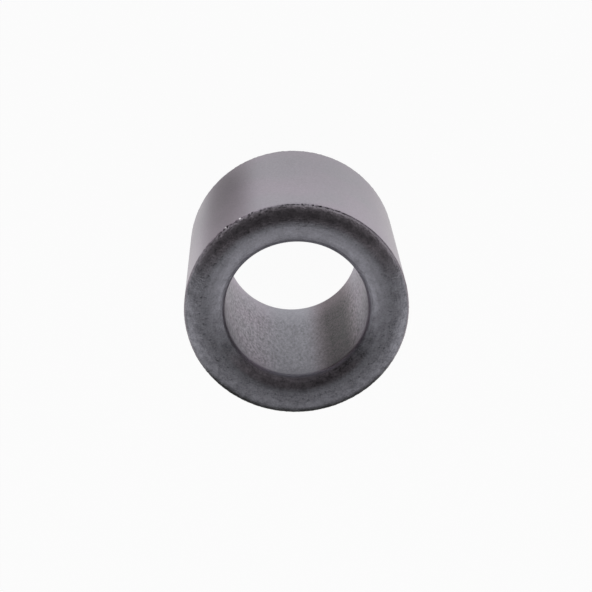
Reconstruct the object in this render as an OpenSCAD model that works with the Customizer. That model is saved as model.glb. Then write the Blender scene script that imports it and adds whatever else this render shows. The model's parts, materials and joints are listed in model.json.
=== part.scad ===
// Ferrite toroid core: one bare ring, pressed from powder and fired, with a plain through bore.
// It stands on one flat end. Its axis is +Z, and the origin is the centre of the lower end.

/* [Ring] */
// Diameter of the straight outer wall
outer_d = 25; // [22:0.5:32]
// Diameter of the through bore
bore_d = 16; // [10:0.5:18]
// Height over both flat ends
height = 22; // [6:0.5:40]

/* [Bore mouths] */
// Radius of the rounding between the bore and each flat end
bore_edge_r = 1.6; // [0.4:0.1:1.8]

/* [Outer rims] */
// Width of the rounded rim, from each flat end out to the outer wall
rim_width = 1.8; // [0.9:0.1:2.2]
// Drop from each flat end to the crisp corner where the rim meets the outer wall
rim_drop = 0.9; // [0.3:0.1:0.9]

/* [Hidden] */
$fn = 128;

ferrite_grey = [0.36, 0.35, 0.38];

bore_r = bore_d / 2;
outer_r = outer_d / 2;
wall_t = outer_r - bore_r;

// Largest shares of the wall that the edge forms may take, so that a flat end is always left
bore_round_share = 0.4;
rim_share = 0.45;

bore_round = min(bore_edge_r, bore_round_share * wall_t);
rim_reach = min(rim_width, rim_share * wall_t);

// Radius of the rounding that leaves the flat end smoothly and falls by the drop over its reach
rim_round = (rim_reach ^ 2 + rim_drop ^ 2) / (2 * rim_drop);

// Each flat end lies between these two radii
flat_inner_r = bore_r + bore_round;
flat_outer_r = outer_r - rim_reach;

// Roundings between the bore and both flat ends
module bore_rounds() {
    for (centre_z = [bore_round, height - bore_round])
        translate([flat_inner_r, centre_z])
            circle(r = bore_round);
}

// Roundings of both rims, cut off by the outer wall. Each keeps to its own half of the height.
module rim_rounds() {
    for (half = [[0, rim_round], [height / 2, height - rim_round]])
        intersection() {
            translate([flat_outer_r, half[1]])
                circle(r = rim_round);
            translate([flat_inner_r, half[0]])
                square([outer_r - flat_inner_r, height / 2]);
        }
}

// Section of the wall: radius along X, height along Y
module wall_section() {
    // Between the flat ends
    translate([flat_inner_r, 0])
        square([flat_outer_r - flat_inner_r, height]);
    // Behind the straight bore
    translate([bore_r, bore_round])
        square([flat_outer_r - bore_r, height - 2 * bore_round]);
    // Behind the straight outer wall, up to both rims
    translate([flat_inner_r, rim_drop])
        square([outer_r - flat_inner_r, height - 2 * rim_drop]);
    bore_rounds();
    rim_rounds();
}

module ferrite_core() {
    color(ferrite_grey)
        rotate_extrude()
            wall_section();
}

ferrite_core();
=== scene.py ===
import json
import math

import bpy
from mathutils import Matrix, Vector


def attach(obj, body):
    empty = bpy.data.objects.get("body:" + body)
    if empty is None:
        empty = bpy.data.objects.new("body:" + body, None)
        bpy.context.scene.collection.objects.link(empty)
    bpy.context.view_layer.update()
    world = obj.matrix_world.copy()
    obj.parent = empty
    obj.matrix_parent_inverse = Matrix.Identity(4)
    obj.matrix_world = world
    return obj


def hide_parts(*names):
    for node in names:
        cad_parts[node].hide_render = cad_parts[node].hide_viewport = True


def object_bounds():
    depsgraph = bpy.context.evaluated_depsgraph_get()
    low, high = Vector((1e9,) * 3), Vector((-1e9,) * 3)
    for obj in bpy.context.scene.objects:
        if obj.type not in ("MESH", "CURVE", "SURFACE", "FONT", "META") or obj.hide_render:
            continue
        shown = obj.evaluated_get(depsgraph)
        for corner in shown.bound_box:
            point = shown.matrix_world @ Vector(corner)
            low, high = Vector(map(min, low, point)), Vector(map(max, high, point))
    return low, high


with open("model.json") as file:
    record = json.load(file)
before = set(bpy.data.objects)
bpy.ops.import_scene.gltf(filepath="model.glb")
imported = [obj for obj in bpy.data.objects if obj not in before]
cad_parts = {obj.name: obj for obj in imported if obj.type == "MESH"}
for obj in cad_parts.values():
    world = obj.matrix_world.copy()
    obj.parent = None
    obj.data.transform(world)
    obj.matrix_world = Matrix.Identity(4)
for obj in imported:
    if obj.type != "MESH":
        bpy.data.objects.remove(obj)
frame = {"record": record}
cad_low, cad_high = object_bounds()

MM = 0.001

# Sizes of the ring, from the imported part
mounts = {mount["name"]: mount for mount in frame["record"]["mounts"]}
outer_r = mounts["outer_wall"]["dims"]["r_mm"] * MM
wall_length = mounts["outer_wall"]["dims"]["length_mm"] * MM
bore_r = mounts["bore"]["dims"]["r_mm"] * MM
bore_length = mounts["bore"]["dims"]["length_mm"] * MM
height = cad_high.z - cad_low.z
mid_z = height / 2

# Edge forms of both ends
bore_round = (height - bore_length) / 2
rim_drop = (height - wall_length) / 2
wall_top = height - rim_drop
rim_reach = 1.8 * MM
rim_sweep = 2 * math.atan2(rim_drop, rim_reach)
rim_round = rim_reach / math.sin(rim_sweep)
flat_inner_r = bore_r + bore_round
flat_outer_r = outer_r - rim_reach

# Steps of the mesh along the section and round the ring. The wall has short steps just below the corner.
bore_steps = 6
bore_round_steps = 18
flat_steps = 6
rim_steps = 20
corner_depth = 0.8 * MM
corner_steps = 7
wall_steps = 6
ring_steps = 720
merge_distance = 0.001 * MM
smooth_angle = math.radians(30)

# Passes that smooth the flat end: each by its depth in bore roundings, its distance from the corner
# and its repeats
crown_passes = ((0.5, 0.5 * MM, 10), (0.2, 0.9 * MM, 20))
crown_factor = 0.5

# Ragged wear of the outer corners, strongest on the upper one along a span of turns from +X, in degrees
ragged_turns = (74, 140)
ragged_fade = 12
ragged_reach = 0.50 * MM
ragged_depth = 0.30 * MM
ragged_level = 0.38
crumb_size = 0.22 * MM
crumb_detail = 2
plain_share = 0.22
plain_reach = 0.36 * MM

# The fine line that the press left just inside the upper corner, along a span of turns
press_line_turns = (15, 86)
press_line_fade = 15
press_line_inset = 0.09 * MM
press_line_reach = 0.12 * MM
press_line_depth = 0.05 * MM

# Chips out of the upper corner, each by its turn and its width. Their depth and reach are in chip widths,
# and the slope is their drop for each step inwards.
chips = ((128.0, 0.36 * MM), (119.6, 0.32 * MM), (113.4, 0.24 * MM))
chip_depth = 0.6
chip_reach = 0.8
chip_slope = 0.7

# The pale mark on each chip, a fresh break painted pale as a glint: its turn past the chip's middle, and its
# drop, reach and core in chip widths
chip_mark_turn = 0.6
chip_mark_drop = 0.45
chip_mark_reach = 0.55
chip_mark_core = 0.3

# The ferrite's noises, each by its size and its detail, and how far the speckle is drawn out along the axis
grain_noise = (0.20 * MM, 2.0)
speckle_noise = (0.28 * MM, 3.0)
speckle_drawn = (1.0, 1.0, 0.4)
mottle_noise = (2.4 * MM, 4.0)
cast_noise = (7.0 * MM, 1.0)
pit_noise = (0.42 * MM, 2.0)
wear_noise = (0.5 * MM, 2.0)
smudge_noise = (0.9 * MM, 6.0)
noise_mean = 0.5

# Streaks that run round with the ring: their width, their height, their count and their noise in streaks
streak_width = 0.3 * MM
streak_height = 1.0 * MM
streaks_per_radian = 2.5
streak_noise = (1.0, 2.0)

# Levels of a noise between which a mark fades in
soft_levels = (0.35, 0.65)
pit_levels = (0.56, 0.70)
worn_levels = (0.46, 0.62)
crumbled_levels = (0.40, 0.60)

# Where the zones of the ferrite lie. Two numbers are where a zone starts and where it is full. Three are
# its middle, its reach and its core. Turns are in degrees from +X, and depths are from the nearer end.
in_bore_radii = (bore_r + 0.3 * MM, bore_r + 0.06 * MM)
on_round_radii = (flat_inner_r, bore_r + 0.6 * bore_round)
on_rim_radii = (10.3 * MM, 11.2 * MM)
on_wall_radii = (outer_r - 0.25 * MM, outer_r - 0.05 * MM)
on_end_depths = (0.3 * MM, 0.1 * MM)

# The bore: a brownish band of painted shade along one side, painted shade on the mouth beside it,
# the coarse sides and painted light at the far end
bore_shade_turns = (-49, 31, 6)
bore_shade_depths = (0.5 * bore_round, 0.9 * bore_round)
dark_mouth_turns = (-49, 46, 14)
coarse_left_x = (-0.5 * MM, -5.5 * MM)
coarse_right_x = (5.6 * MM, 7.2 * MM)
far_bore_z = (7.0 * MM, 2.0 * MM)
speckle_depths = (0.8 * bore_round, 1.6 * bore_round)

# Lines along the bore's mouth: painted light on a lip and painted shade on a roll at the front,
# and painted light on the flanks further back
lip_radii = (bore_r + 0.28 * MM, bore_r + 0.1 * MM)
lip_y = (-4.0 * MM, -7.0 * MM)
lip_z = (height - 1.4 * MM, height - 1.1 * MM)
roll_radii = (bore_r + 0.42 * MM, 0.32 * MM, 0.08 * MM)
roll_y = (-3.5 * MM, -6.5 * MM)
flank_radii = (bore_r + 0.26 * MM, 0.28 * MM, 0.08 * MM)
flank_y = (-4.5 * MM, -0.5 * MM)
flank_depths = (1.4 * MM, 1.1 * MM)

# The outer wall: painted light on its sides and its upper part, and a band of painted shade
pale_left_x = (-9.4 * MM, -11.6 * MM)
pale_left_share = 0.6
pale_right_x = (8.6 * MM, 12.0 * MM)
near_wall_z = (4.0 * MM, 21.0 * MM)
streak_shade_turns = (131, 22, 4)

# The ends: painted light round the bore, pitted where they begin to fall, darker and worn at the corner, and
# painted shade and crumbling along the rim
pale_inner_radii = (10.9 * MM, 10.0 * MM)
pale_inner_y = (-6.0 * MM, 8.0 * MM)
pit_radii = (flat_outer_r - 0.3 * MM, 0.9 * MM, 0.3 * MM)
corner_distances = (0.30 * MM, 0.06 * MM)
rim_edge_radii = (outer_r - 0.6 * MM, outer_r - 0.1 * MM)
rim_edge_depths = (rim_drop + 0.15 * MM, rim_drop - 0.05 * MM)
front_rim_radii = (outer_r - 1.0 * MM, outer_r - 0.1 * MM)
front_rim_y = (-5.0 * MM, -9.0 * MM)
front_rim_z = (wall_top - 0.15 * MM, wall_top + 0.05 * MM)
dark_rim_turns = (118, 42, 10)
crumbled_radii = (outer_r - 0.65 * MM, outer_r - 0.35 * MM)
crumbled_turns = (102, 42, 28)

# The brownish parts of the roundings
brown_rim_y = (3.0 * MM, 8.0 * MM)
brown_mouth_y = (-4.0 * MM, -7.0 * MM)

# Colours of the ferrite
end_grey = (0.303, 0.299, 0.336, 1.0)
wall_violet = (0.328, 0.289, 0.338, 1.0)
wall_grey = (0.310, 0.288, 0.328, 1.0)
# Painted light on both sides of the wall
side_light_grey = (0.328, 0.296, 0.324, 1.0)
# Violet of the wall's band of painted shade
streak_shade_violet = (0.330, 0.278, 0.328, 1.0)
dark_round_brown = (0.324, 0.290, 0.326, 1.0)
# Brown of the bore's band of painted shade
bore_shade_brown = (0.352, 0.280, 0.318, 1.0)
# Fresh breaks of the chips, painted pale as a glint
chip_glint_white = (0.92, 0.90, 0.92, 1.0)

# How much each zone of the ring lightens its colour, or darkens it if the number is below 0. Several zones
# are painted light and painted shade
zone_tones = {
    "in_bore": -0.19,
    # painted light at the far end of the bore
    "far_bore_light": 0.29,
    # painted shade along a band in the bore
    "bore_shade_band": -0.70,
    "coarse": 0.07,
    # painted light on the lip and flanks of the bore's mouth, painted shade on its roll and its rounding
    "lip": 0.70,
    "roll_shade": -0.18,
    "flank_light": 0.50,
    "mouth_shade": -0.36,
    # painted light round the bore, on the upper side
    "inner_light": 0.60,
    "pits": -0.30,
    "corner": -0.15,
    "worn": 0.25,
    # painted shade along the rim's edge, at the front of the rim and on its upper left
    "rim_edge_shade": -0.38,
    "front_rim_shade": -0.75,
    "rim_streak_shade": -0.22,
    "crumbled": 0.25,
    "on_wall": -0.06,
    # painted light on the wall's upper part and sides, and painted shade in a band on its left
    "upper_wall_light": 0.18,
    "side_light": 0.20,
    "streak_shade": -0.25,
    "mottle": 0.30,
}
darkest_shade = 0.04

# How strongly the fine marks show, and what the zones add to that
streak_share = 0.45
plain_smudges = 0.16
smudge_shares = {"on_rim": 0.16, "on_round": 0.2}
grain_shares = {"on_wall": -0.5, "in_bore": -0.4}
speckle_shares = {"bore_shade_band": -0.7, "coarse": 1.1}
far_speckle_loss = 0.6
side_speckle = 0.42

# The ferrite's shine and relief, and what the zones add to them
ferrite_metallic = 0.95
ferrite_ior = 2.3
plain_roughness = 0.39
roughness_shares = {"in_bore": 0.05, "on_round": 0.08, "mottle": 0.12, "pits": 0.12, "worn": 0.1}
relief_depth = 0.022 * MM
relief_shares = {"on_rim": 0.9, "on_round": 0.7, "on_wall": -0.4}
speckle_relief = 0.6
pit_relief = 0.35

# Shade on the floor that only reflections show: each spot by its place, its reach and its depth
shaded_spots = (
    (-13.2 * MM, 12.4 * MM, 7.5 * MM, 0.56),
    (-18.5 * MM, 9.0 * MM, 7.0 * MM, 0.50),
    (-8.8 * MM, 11.6 * MM, 5.5 * MM, 0.18),
)
shaded_core = 0.3

# Shade that reflections show on the floor in front: its turns in degrees, where it starts and is full,
# and its depth
front_turn = -90
front_reach = 60
front_core = 20
front_start = -18 * MM
front_full = -36 * MM
front_depth = 0.95

# The floor, and how white it shows to the camera and in reflections
floor_radius = 1.5
floor_sides = 64
floor_grey = (0.8, 0.8, 0.8, 1.0)
floor_seen = 0.96
floor_reflected = 0.95
white = (1.0, 1.0, 1.0, 1.0)

# Strength of the studio's sky overhead, what the horizon adds to it, and how much of that is missing in front
sky_overhead = 0.04
sky_horizon = 0.45
sky_front_loss = 0.7

# Where the studio fades by direction: towards the front, up to the backdrop's edge, and the white glow
# that lies low at both sides
sky_front_fade = (-0.5, -0.95)
backdrop_fade = (0.30, 0.22)
glow_rise_fade = (0.16, 0.02)
glow_side_fade = (0.35, 0.8)

# Softboxes: each by its turn from +X and its tilt from the axis in degrees, its width, its height
# and its radiance
softboxes = {
    "high_left": (238, 30, 0.22, 0.22, 0.49),
    "high_right": (302, 30, 0.22, 0.22, 0.38),
    "front_left": (218, 58, 0.28, 0.38, 0.66),
    "front_right": (322, 58, 0.30, 0.38, 0.61),
    "front": (270, 58, 0.34, 0.34, 0.32),
    "low_left": (206, 86, 0.28, 0.08, 0.40),
    "low_right": (342, 86, 0.45, 0.08, 0.60),
}
softbox_distance = 0.5

# The camera of the photograph: its frame, its focal length in pixels, and how it is set to the ring's middle
photo_side = 592
focal_pixels = 1500.1
camera_pitch = math.radians(21.888)
camera_yaw = math.radians(1.735)
camera_right = -0.01657 * outer_r
camera_up = 0.17024 * outer_r
camera_away = 14.0746 * outer_r
camera_clip = 0.01
sensor_width = 36.0

# Sockets of a Mix node that blends colours
MIX_SHARE = 0
MIX_FIRST = 6
MIX_SECOND = 7
MIX_RESULT = 2


class Value:
    """A socket of a finish. Arithmetic on it adds Math nodes."""

    def __init__(self, finish, socket):
        self.finish = finish
        self.socket = socket

    def __add__(self, other):
        return self.finish.maths("ADD", self, other)

    def __radd__(self, other):
        return self.finish.maths("ADD", other, self)

    def __sub__(self, other):
        return self.finish.maths("SUBTRACT", self, other)

    def __rsub__(self, other):
        return self.finish.maths("SUBTRACT", other, self)

    def __mul__(self, other):
        return self.finish.maths("MULTIPLY", self, other)

    def __rmul__(self, other):
        return self.finish.maths("MULTIPLY", other, self)

    def __abs__(self):
        return self.finish.maths("ABSOLUTE", self, 0.0)


class Finish:
    """The node tree of a material or of the world, built node by node."""

    def __init__(self, owner):
        owner.use_nodes = True
        self.owner = owner
        self.tree = owner.node_tree
        self.tree.nodes.clear()

    def node(self, kind, settings=None, inputs=None, output=0):
        """Adds a node, sets its settings, fills its sockets, and gives one of its outputs."""
        made = self.tree.nodes.new(kind)
        for name, setting in (settings or {}).items():
            setattr(made, name, setting)
        for name, filling in (inputs or {}).items():
            if isinstance(filling, Value):
                self.tree.links.new(filling.socket, made.inputs[name])
            else:
                made.inputs[name].default_value = filling
        if made.outputs:
            return Value(self, made.outputs[output])
        return None

    def maths(self, operation, first, second):
        return self.node("ShaderNodeMath", {"operation": operation}, {0: first, 1: second})

    def vector_maths(self, operation, inputs, output=0):
        return self.node("ShaderNodeVectorMath", {"operation": operation}, inputs, output)

    def parts(self, vector):
        """The X, Y and Z of a vector."""
        return [self.node("ShaderNodeSeparateXYZ", {}, {0: vector}, axis) for axis in "XYZ"]

    def rays(self):
        """Marks of the rays from the camera, from reflections and through clear things."""
        kinds = ("Is Camera Ray", "Is Glossy Ray", "Is Transmission Ray")
        return [self.node("ShaderNodeLightPath", output=kind) for kind in kinds]

    def fade(self, value, low, high):
        """0 at low, 1 at high, and smooth between them."""
        return self.node(
            "ShaderNodeMapRange",
            {"interpolation_type": "SMOOTHSTEP"},
            {"Value": value, "From Min": low, "From Max": high},
        )

    def near(self, value, middle, reach, core):
        """1 within the core of a middle, 0 beyond its reach, and smooth between them."""
        return self.fade(abs(value - middle), reach, core)

    def near_turn(self, around, middle, reach, core):
        """The same for a turn. The middle, the reach and the core are in degrees."""
        return self.near(around, math.radians(middle), math.radians(reach), math.radians(core))

    def noise(self, vector, size, detail):
        return self.node("ShaderNodeTexNoise", {}, {"Vector": vector, "Scale": 1 / size, "Detail": detail})

    def mix(self, share, first, second):
        """Blends two colours."""
        inputs = {MIX_SHARE: share, MIX_FIRST: first, MIX_SECOND: second}
        return self.node("ShaderNodeMix", {"data_type": "RGBA"}, inputs, MIX_RESULT)


def apply_modifier(piece, kind, name, **settings):
    """Adds a modifier to the active piece, sets it and applies it."""
    modifier = piece.modifiers.new(name, kind)
    for key, setting in settings.items():
        setattr(modifier, key, setting)
    bpy.ops.object.modifier_apply(modifier=name)


# The ring's section is drawn with one moving vertex in the XZ plane
def start_section(radius, z):
    bpy.ops.object.select_all(action="DESELECT")
    bpy.ops.mesh.primitive_plane_add(size=bore_round, location=(radius, 0, z))
    bpy.ops.object.transform_apply(location=True, rotation=False, scale=False)
    bpy.ops.object.mode_set(mode="EDIT")
    bpy.ops.mesh.select_all(action="SELECT")
    bpy.ops.mesh.merge(type="CENTER")
    return Vector((radius, 0, z))


def draw_line(pen, radius, z, steps):
    end = Vector((radius, 0, z))
    for _ in range(steps):
        bpy.ops.mesh.extrude_region_move(TRANSFORM_OT_translate={"value": (end - pen) / steps})
    return end


def draw_arc(centre_r, centre_z, end_r, end_z, sweep, steps):
    bpy.ops.mesh.spin(steps=steps, angle=-sweep, center=(centre_r, 0, centre_z), axis=(0, 1, 0))
    return Vector((end_r, 0, end_z))


def make_ring():
    """Draws the upper half of the section, spins it round the axis and mirrors it to the lower half."""
    pen = start_section(bore_r, mid_z)
    ring = bpy.context.object
    ring.name = "core_ring"
    pen = draw_line(pen, bore_r, height - bore_round, bore_steps)
    pen = draw_arc(flat_inner_r, height - bore_round, flat_inner_r, height, math.pi / 2, bore_round_steps)
    pen = draw_line(pen, flat_outer_r, height, flat_steps)
    pen = draw_arc(flat_outer_r, height - rim_round, outer_r, wall_top, rim_sweep, rim_steps)
    pen = draw_line(pen, outer_r, wall_top - corner_depth, corner_steps)
    draw_line(pen, outer_r, mid_z, wall_steps)
    crown_end(ring)
    bpy.ops.mesh.select_all(action="SELECT")
    bpy.ops.mesh.spin(steps=ring_steps, angle=2 * math.pi, center=(0, 0, 0), axis=(0, 0, 1))
    bpy.ops.mesh.select_all(action="SELECT")
    bpy.ops.mesh.remove_doubles(threshold=merge_distance)
    bpy.ops.mesh.duplicate()
    bpy.ops.transform.resize(value=(1, 1, -1), center_override=(0, 0, mid_z))
    bpy.ops.mesh.select_all(action="SELECT")
    bpy.ops.mesh.remove_doubles(threshold=merge_distance)
    bpy.ops.mesh.normals_make_consistent(inside=False)
    bpy.ops.object.mode_set(mode="OBJECT")
    wear_corners(ring)
    bpy.ops.object.shade_smooth_by_angle(angle=smooth_angle)
    return ring


def crown_end(ring):
    """Smooths the section from the bore's rounding to the rim, so that the flat end runs softly into both."""
    for depth, from_corner, passes in crown_passes:
        bpy.ops.mesh.select_all(action="DESELECT")
        bpy.ops.object.mode_set(mode="OBJECT")
        for vertex in ring.data.vertices:
            inside_corner = vertex.co.x < outer_r - from_corner
            vertex.select = inside_corner and vertex.co.z > height - depth * bore_round
        bpy.ops.object.mode_set(mode="EDIT")
        bpy.ops.mesh.vertices_smooth(factor=crown_factor, repeat=passes)


def corner_point(turn):
    """The point of the upper outer corner at a turn from +X, in degrees."""
    turn = math.radians(turn)
    return Vector((outer_r * math.cos(turn), outer_r * math.sin(turn), wall_top))


def span_weight(place, span, fade):
    """1 inside a span of turns, and falling to 0 over the fade outside it."""
    turn = math.degrees(math.atan2(place.y, place.x))
    outside = max(span[0] - turn, turn - span[1], 0)
    return max(0.0, 1 - outside / fade)


def corner_weight(place):
    """How much the ragged wear takes at a vertex: only near the outer corners, most along the ragged span."""
    from_end = mid_z - abs(place.z - mid_z)
    away = math.hypot(place.xy.length - outer_r, from_end - rim_drop)
    ragged = 0.0
    if place.z >= mid_z:
        ragged = span_weight(place, ragged_turns, ragged_fade)
    share = plain_share + (1 - plain_share) * ragged
    reach = plain_reach + (ragged_reach - plain_reach) * ragged
    return share * max(0.0, 1 - away / reach)


def press_line_weight(place):
    """A fine line just inside the upper corner, on one side of the ring."""
    if place.z < mid_z:
        return 0.0
    away = abs(place.xy.length - outer_r + press_line_inset) + max(0.0, wall_top - place.z)
    return span_weight(place, press_line_turns, press_line_fade) * max(0.0, 1 - away / press_line_reach)


def weigh(piece, name, weight_of):
    group = piece.vertex_groups.new(name=name)
    for vertex in piece.data.vertices:
        weight = weight_of(vertex.co)
        if weight > 0:
            group.add([vertex.index], weight, "REPLACE")
    return name


def wear_corners(ring):
    """Roughens both outer corners, presses the fine line in, and knocks the chips out of the upper corner."""
    crumbs = bpy.data.textures.new("crumbs", "CLOUDS")
    crumbs.noise_scale = crumb_size
    crumbs.noise_depth = crumb_detail
    apply_modifier(
        ring,
        "DISPLACE",
        "ragged",
        texture=crumbs,
        vertex_group=weigh(ring, "corner", corner_weight),
        strength=-ragged_depth,
        mid_level=ragged_level,
    )
    apply_modifier(
        ring,
        "DISPLACE",
        "line",
        vertex_group=weigh(ring, "press_line", press_line_weight),
        strength=-press_line_depth,
        mid_level=0.0,
    )
    for turn, width in chips:
        middle = corner_point(turn)
        nearest = min(ring.data.vertices, key=lambda vertex: (vertex.co - middle).length)
        select_only(ring, nearest.index)
        inward = Vector((-middle.x, -middle.y, -chip_slope * outer_r)).normalized()
        bpy.ops.object.mode_set(mode="EDIT")
        bpy.ops.transform.translate(
            value=inward * width * chip_depth,
            use_proportional_edit=True,
            proportional_edit_falloff="SPHERE",
            proportional_size=width * chip_reach,
        )
        bpy.ops.object.mode_set(mode="OBJECT")


def select_only(piece, index):
    bpy.ops.object.mode_set(mode="EDIT")
    bpy.ops.mesh.select_mode(type="VERT")
    bpy.ops.mesh.select_all(action="DESELECT")
    bpy.ops.object.mode_set(mode="OBJECT")
    piece.data.vertices[index].select = True


class RingPlace:
    """Where a point lies on the ring, and the large zones of the ring there, each from 0 to 1."""

    def __init__(self, finish):
        self.point = finish.node("ShaderNodeTexCoord", output="Object")
        self.x, self.y, self.z = finish.parts(self.point)
        level = finish.vector_maths("MULTIPLY", {0: self.point, 1: (1.0, 1.0, 0.0)})
        self.radius = finish.vector_maths("LENGTH", {0: level}, "Value")
        self.around = finish.maths("ARCTAN2", self.y, self.x)
        self.from_end = mid_z - abs(self.z - mid_z)

        self.in_bore = finish.fade(self.radius, *in_bore_radii)
        self.on_wall = finish.fade(self.radius, *on_wall_radii)
        self.on_end = finish.fade(self.from_end, *on_end_depths)
        self.on_round = finish.fade(self.radius, *on_round_radii) * (1 - self.in_bore)
        self.on_rim = finish.fade(self.radius, *on_rim_radii) * (1 - self.on_wall)
        self.on_face = (1 - self.on_wall) * (1 - self.in_bore)


def bore_zones(finish, at):
    """The bore: painted light at its far end, coarse sides, painted shade along a band, painted light and
    shade at its mouth.
    """
    # Painted shade along a band on one side of the bore
    bore_shade_band = at.in_bore * finish.near_turn(at.around, *bore_shade_turns)
    left = finish.fade(at.x, *coarse_left_x)
    right = finish.fade(at.x, *coarse_right_x)
    # Painted light on the lip and the flanks, and painted shade on the roll
    lip = finish.fade(at.radius, *lip_radii) * finish.fade(at.y, *lip_y)
    roll_shade = finish.near(at.radius, *roll_radii) * finish.fade(at.y, *roll_y)
    flank_light = finish.near(at.radius, *flank_radii) * finish.fade(at.y, *flank_y)
    return {
        "in_bore": at.in_bore,
        "on_round": at.on_round,
        "bore_shade_band": bore_shade_band * finish.fade(at.from_end, *bore_shade_depths),
        "coarse": at.in_bore * (left + right),
        # painted light at the far end of the bore
        "far_bore_light": at.in_bore * finish.fade(at.z, *far_bore_z),
        "lip": lip * finish.fade(at.z, *lip_z),
        "roll_shade": roll_shade,
        "flank_light": flank_light * finish.fade(at.from_end, *flank_depths),
        # painted shade on the mouth's rounding
        "mouth_shade": at.on_round * finish.near_turn(at.around, *dark_mouth_turns),
    }


def wall_zones(finish, at):
    """The outer wall has painted light towards the upper end and at both sides, and painted shade in a band
    on the left.
    """
    left = finish.fade(at.x, *pale_left_x)
    right = finish.fade(at.x, *pale_right_x)
    return {
        "on_wall": at.on_wall,
        # Painted light on the upper part and both sides, and painted shade in a band on the left
        "upper_wall_light": at.on_wall * finish.fade(at.z, *near_wall_z),
        "side_light": at.on_wall * (right + pale_left_share * left),
        "streak_shade": at.on_wall * finish.near_turn(at.around, *streak_shade_turns),
    }


def end_zones(finish, at):
    """The ends have painted light round the bore, pits where they begin to fall, and painted shade and wear
    along the rim.
    """
    # Painted light round the bore, towards the upper side
    inner_light = finish.fade(at.radius, *pale_inner_radii) * finish.fade(at.y, *pale_inner_y)
    pit_ring = at.on_end * finish.near(at.radius, *pit_radii)
    pits = finish.noise(at.point, *pit_noise)
    wear = finish.noise(at.point, *wear_noise)
    from_corner = abs(at.radius - outer_r) + abs(at.from_end - rim_drop)
    corner = finish.fade(from_corner, *corner_distances)
    # Painted shade along the rim's edge and at the front of the rim
    rim_edge_shade = finish.fade(at.radius, *rim_edge_radii)
    front_rim_shade = finish.fade(at.radius, *front_rim_radii) * finish.fade(at.y, *front_rim_y)
    crumbled = finish.fade(at.radius, *crumbled_radii) * (1 - at.on_wall)
    crumbled = crumbled * finish.near_turn(at.around, *crumbled_turns)
    return {
        "on_rim": at.on_rim,
        "inner_light": inner_light * (1 - at.in_bore),
        "pits": pit_ring * finish.fade(pits, *pit_levels),
        "corner": corner,
        "worn": corner * finish.fade(wear, *worn_levels),
        "rim_edge_shade": rim_edge_shade * finish.fade(at.from_end, *rim_edge_depths),
        "front_rim_shade": front_rim_shade * finish.fade(at.z, *front_rim_z),
        # painted shade on the rim's upper left
        "rim_streak_shade": at.on_rim * finish.near_turn(at.around, *dark_rim_turns),
        "crumbled": crumbled * finish.fade(wear, *crumbled_levels),
    }


def chip_marks(finish, at):
    """The pale faces of the chips: fresh breaks, painted pale as a glint as well."""
    marks = 0.0
    for turn, width in chips:
        lip = corner_point(turn + chip_mark_turn) - Vector((0, 0, width * chip_mark_drop))
        away = finish.vector_maths("DISTANCE", {0: at.point, 1: lip}, "Value")
        marks = marks + finish.fade(away, width * chip_mark_reach, width * chip_mark_core)
    return marks


def ferrite_colour(finish, at, zones):
    """The colour before light and dark: bluish ends, a violet wall, and brown in the bore's band of painted
    shade.
    """
    cast = finish.fade(finish.noise(at.point, *cast_noise), *soft_levels)
    violet = finish.mix(cast, wall_violet, wall_grey)
    colour = finish.mix(finish.fade(zones["on_wall"] + zones["coarse"], 0.0, 1.0), end_grey, violet)
    # Greyer where light is painted on the wall's sides, violet in its band of painted shade
    colour = finish.mix(zones["side_light"], colour, side_light_grey)
    colour = finish.mix(zones["streak_shade"], colour, streak_shade_violet)
    brown_rim = at.on_rim * finish.fade(at.y, *brown_rim_y)
    brown_mouth = at.on_round * finish.fade(at.y, *brown_mouth_y)
    colour = finish.mix(brown_rim + brown_mouth, colour, dark_round_brown)
    # Brown in the bore's band of painted shade
    return finish.mix(zones["bore_shade_band"], colour, bore_shade_brown)


def add_shares(start, shares, zones):
    """Adds the share of each named zone to a start."""
    total = start
    for name, share in shares.items():
        total = total + share * zones[name]
    return total


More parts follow.
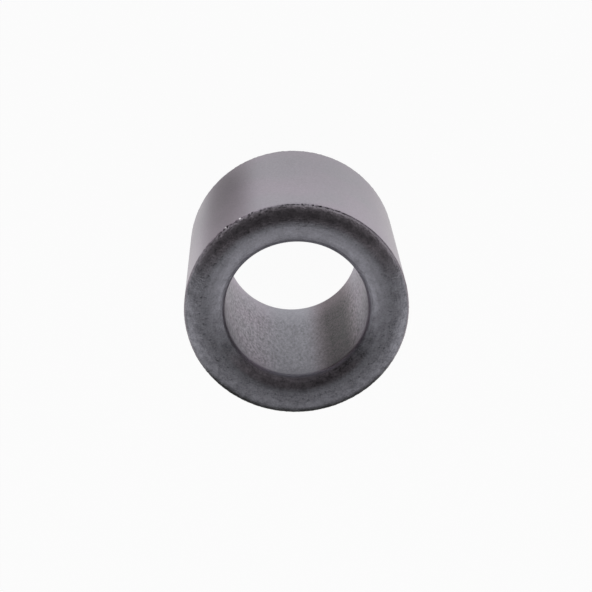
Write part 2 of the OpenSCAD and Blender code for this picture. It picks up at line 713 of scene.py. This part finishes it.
def ferrite_finish():
    """Bare fired ferrite: a satin dark grey with a violet cast, fine grain, pitted ends, pale chips, and
    painted light and shade.
    """
    finish = Finish(bpy.data.materials.new("fired_ferrite"))
    at = RingPlace(finish)
    grain = finish.noise(at.point, *grain_noise) - noise_mean
    drawn = finish.vector_maths("MULTIPLY", {0: at.point, 1: speckle_drawn})
    speckle = finish.noise(drawn, *speckle_noise) - noise_mean
    mottle = finish.noise(at.point, *mottle_noise) - noise_mean
    zones = {
        **bore_zones(finish, at),
        **wall_zones(finish, at),
        **end_zones(finish, at),
        "mottle": mottle,
    }

    # Faint streaks on the ends run round with the ring, and smudges lie most on the roundings
    across = at.radius * (1 / streak_width)
    turned = streaks_per_radian * at.around
    risen = at.z * (1 / streak_height)
    along = finish.node("ShaderNodeCombineXYZ", {}, {0: across, 1: turned, 2: risen})
    streaks = at.on_face * (finish.noise(along, *streak_noise) - noise_mean)
    smudges = finish.fade(finish.noise(at.point, *smudge_noise), *soft_levels) - noise_mean
    smudges = at.on_face * smudges * add_shares(plain_smudges, smudge_shares, zones)

    # The speckle of the bore keeps off its rounding
    inside = at.in_bore * finish.fade(at.from_end, *speckle_depths)
    bore_speckle = inside * (1 - far_speckle_loss * zones["far_bore_light"])
    bore_speckle = bore_speckle * add_shares(1.0, speckle_shares, zones)

    # The shade carries the ferrite's own tone and wear together with the painted light and shade of the zones
    shade = add_shares(1.0 + smudges + streak_share * streaks, zone_tones, zones)
    shade = shade + add_shares(1.0, grain_shares, zones) * grain
    shade = shade + (bore_speckle + side_speckle * zones["side_light"]) * speckle
    shade = finish.maths("MAXIMUM", shade, darkest_shade)
    colour = finish.vector_maths("SCALE", {"Vector": ferrite_colour(finish, at, zones), "Scale": shade})
    # Painted glint on the chips' broken faces
    colour = finish.mix(chip_marks(finish, at), colour, chip_glint_white)

    relief = add_shares(1.0, relief_shares, zones) * grain
    relief = relief + speckle_relief * inside * speckle - pit_relief * zones["pits"]
    bump = finish.node("ShaderNodeBump", {}, {"Height": relief, "Strength": 1.0, "Distance": relief_depth})
    shader = finish.node(
        "ShaderNodeBsdfPrincipled",
        {},
        {
            "Base Color": colour,
            "Metallic": ferrite_metallic,
            "Roughness": add_shares(plain_roughness, roughness_shares, zones),
            "IOR": ferrite_ior,
            "Normal": bump,
        },
    )
    finish.node("ShaderNodeOutputMaterial", {}, {"Surface": shader})
    return finish.owner


def floor_finish():
    """A pale floor that shows white to the camera and in reflections, and keeps the ring's shadow."""
    finish = Finish(bpy.data.materials.new("pale_floor"))
    camera, glossy, through = finish.rays()
    place = finish.node("ShaderNodeTexCoord", output="Object")
    open_floor = 1.0

    # Beside the ring's foot, at the left behind it, the reflected floor is shaded
    for x, y, reach, depth in shaded_spots:
        away = finish.vector_maths("DISTANCE", {0: place, 1: Vector((x, y, 0))}, "Value")
        open_floor = open_floor * (1 - depth * finish.fade(away, reach, reach * shaded_core))

    # In front of the ring the studio is dark
    x, y, _ = finish.parts(place)
    around = finish.maths("ARCTAN2", y, x)
    front = finish.near_turn(around, front_turn, front_reach, front_core)
    front = front * finish.fade(y, front_start, front_full)
    open_floor = open_floor * (1 - front_depth * front)

    seen = floor_seen * (camera + through) + floor_reflected * glossy * open_floor
    lit = finish.node("ShaderNodeBsdfDiffuse", {}, {"Color": floor_grey})
    glow = finish.node("ShaderNodeEmission", {}, {"Color": white, "Strength": 1.0})
    shader = finish.node("ShaderNodeMixShader", {}, {0: seen, 1: lit, 2: glow})
    finish.node("ShaderNodeOutputMaterial", {}, {"Surface": shader})
    return finish.owner


def make_floor():
    bpy.ops.object.select_all(action="DESELECT")
    bpy.ops.mesh.primitive_circle_add(
        vertices=floor_sides,
        radius=floor_radius,
        fill_type="NGON",
        location=(0, 0, 0),
    )
    floor = bpy.context.object
    floor.name = "floor"
    floor.data.materials.append(floor_finish())


def make_softbox(name, turn, tilt, wide, high, radiance):
    """A softbox that faces the ring, turned from +X and tilted from the axis, with the stated radiance."""
    turn = math.radians(turn)
    tilt = math.radians(tilt)
    away = Vector((math.sin(tilt) * math.cos(turn), math.sin(tilt) * math.sin(turn), math.cos(tilt)))
    lamp = bpy.data.lights.new(name, "AREA")
    lamp.shape = "RECTANGLE"
    lamp.size = wide
    lamp.size_y = high
    lamp.energy = radiance * math.pi * wide * high
    box = bpy.data.objects.new(name, lamp)
    bpy.context.scene.collection.objects.link(box)
    box.location = Vector((0, 0, mid_z)) + away * softbox_distance
    box.rotation_euler = away.to_track_quat("Z", "Y").to_euler()


def make_world():
    """A studio that is dim overhead and pale at the sides, with a white backdrop behind the ring."""
    world = bpy.data.worlds.new("studio")
    bpy.context.scene.world = world
    finish = Finish(world)
    camera, glossy, through = finish.rays()
    direction = finish.node("ShaderNodeTexCoord", output="Generated")
    aside, ahead, rise = finish.parts(direction)
    in_front = finish.fade(ahead, *sky_front_fade)
    sky = sky_overhead + sky_horizon * (1 - rise) * (1 - rise) * (1 - sky_front_loss * in_front)
    backdrop = finish.fade(rise, *backdrop_fade)
    side_glow = finish.fade(rise, *glow_rise_fade) * finish.fade(abs(aside), *glow_side_fade)
    shown_white = camera * backdrop + (glossy + through) * side_glow
    strength = sky + (1 - sky) * shown_white
    light = finish.node("ShaderNodeBackground", {}, {"Color": white, "Strength": strength})
    finish.node("ShaderNodeOutputWorld", {}, {"Surface": light})


def make_camera():
    """Sets the camera as the photograph's outlines give it: right is +X, up is +Y, the upper end faces it."""
    lens = bpy.data.cameras.new("photo_camera")
    lens.sensor_width = sensor_width
    lens.lens = focal_pixels * sensor_width / photo_side
    lens.clip_start = camera_clip
    camera = bpy.data.objects.new("photo_camera", lens)
    bpy.context.scene.collection.objects.link(camera)
    turn = Matrix.Rotation(-camera_pitch, 4, "X") @ Matrix.Rotation(-camera_yaw, 4, "Y")
    ring_seen = Vector((camera_right, camera_up, -camera_away))
    camera.matrix_world = Matrix.Translation(Vector((0, 0, mid_z)) - turn @ ring_seen) @ turn
    bpy.context.scene.camera = camera


ring = make_ring()
ring.data.materials.append(ferrite_finish())
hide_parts("ferrite_core")
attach(ring, "root")

make_floor()
make_world()
for name, (turn, tilt, wide, high, radiance) in softboxes.items():
    make_softbox(name, turn, tilt, wide, high, radiance)
make_camera()
bpy.context.scene.view_settings.view_transform = "Standard"
